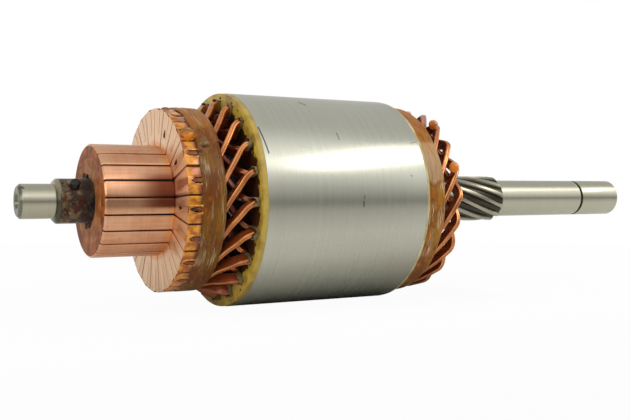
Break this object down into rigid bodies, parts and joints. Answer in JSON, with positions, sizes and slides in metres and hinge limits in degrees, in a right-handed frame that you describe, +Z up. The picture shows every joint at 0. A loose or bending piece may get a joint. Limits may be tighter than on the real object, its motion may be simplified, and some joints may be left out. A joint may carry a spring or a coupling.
{
  "type": "motor armature",
  "caption": "Wound rotor of a direct-current motor: splined shaft, slotted steel core, two-layer hairpin winding and a stepped copper commutator.",
  "frame": {"origin": "on the shaft's axis, at the middle of the commutator-end journal", "axes": "+X along the shaft from the commutator end to the drive end, +Z up, +Y across"},
  "size_m": [0.2803, 0.08, 0.08],
  "materials": {
    "shaft_steel": "turned and ground, satin",
    "core_steel": "ground, fine lines round the core",
    "bush_steel": "turned",
    "peg_black": "blackened steel",
    "bar_copper": "turned copper, satin; brass stands in for copper",
    "winding_copper": "copper under clear enamel and varnish; brass stands in for copper",
    "moulding": "moulded phenolic, brown",
    "mica": "pressed mica",
    "fibre_yellow": "varnished fibre sheet, yellow",
    "fibre_cream": "varnished fibre sheet, cream",
    "slot_paper": "varnished insulation paper",
    "separator_paper": "varnished insulation strip",
    "tape_brown": "glass tape set in resin, glossy"
  },
  "bodies": {
    "root": {"commutator_band": "tape_brown", "commutator_bar_01": "bar_copper", "commutator_bar_02": "bar_copper", "commutator_bar_03": "bar_copper", "commutator_bar_04": "bar_copper", "commutator_bar_05": "bar_copper", "commutator_bar_06": "bar_copper", "commutator_bar_07": "bar_copper", "commutator_bar_08": "bar_copper", "commutator_bar_09": "bar_copper", "commutator_bar_10": "bar_copper", "commutator_bar_11": "bar_copper", "commutator_bar_12": "bar_copper", "commutator_bar_13": "bar_copper", "commutator_bar_14": "bar_copper", "commutator_bar_15": "bar_copper", "commutator_bar_16": "bar_copper", "commutator_bar_17": "bar_copper", "commutator_bar_18": "bar_copper", "commutator_bar_19": "bar_copper", "commutator_bar_20": "bar_copper", "commutator_bar_21": "bar_copper", "commutator_bush": "bush_steel", "commutator_end_insulator": "fibre_yellow", "commutator_hub": "moulding", "drive_end_band": "tape_brown", "drive_end_insulator": "fibre_cream", "hairpin_01": "winding_copper", "hairpin_02": "winding_copper", "hairpin_03": "winding_copper", "hairpin_04": "winding_copper", "hairpin_05": "winding_copper", "hairpin_06": "winding_copper", "hairpin_07": "winding_copper", "hairpin_08": "winding_copper", "hairpin_09": "winding_copper", "hairpin_10": "winding_copper", "hairpin_11": "winding_copper", "hairpin_12": "winding_copper", "hairpin_13": "winding_copper", "hairpin_14": "winding_copper", "hairpin_15": "winding_copper", "hairpin_16": "winding_copper", "hairpin_17": "winding_copper", "hairpin_18": "winding_copper", "hairpin_19": "winding_copper", "hairpin_20": "winding_copper", "hairpin_21": "winding_copper", "lamination_stack": "core_steel", "layer_separators": "separator_paper", "mica_separators": "mica", "seat_peg": "peg_black", "shaft": "shaft_steel", "slot_liners": "slot_paper"}
  },
  "joints": []
}
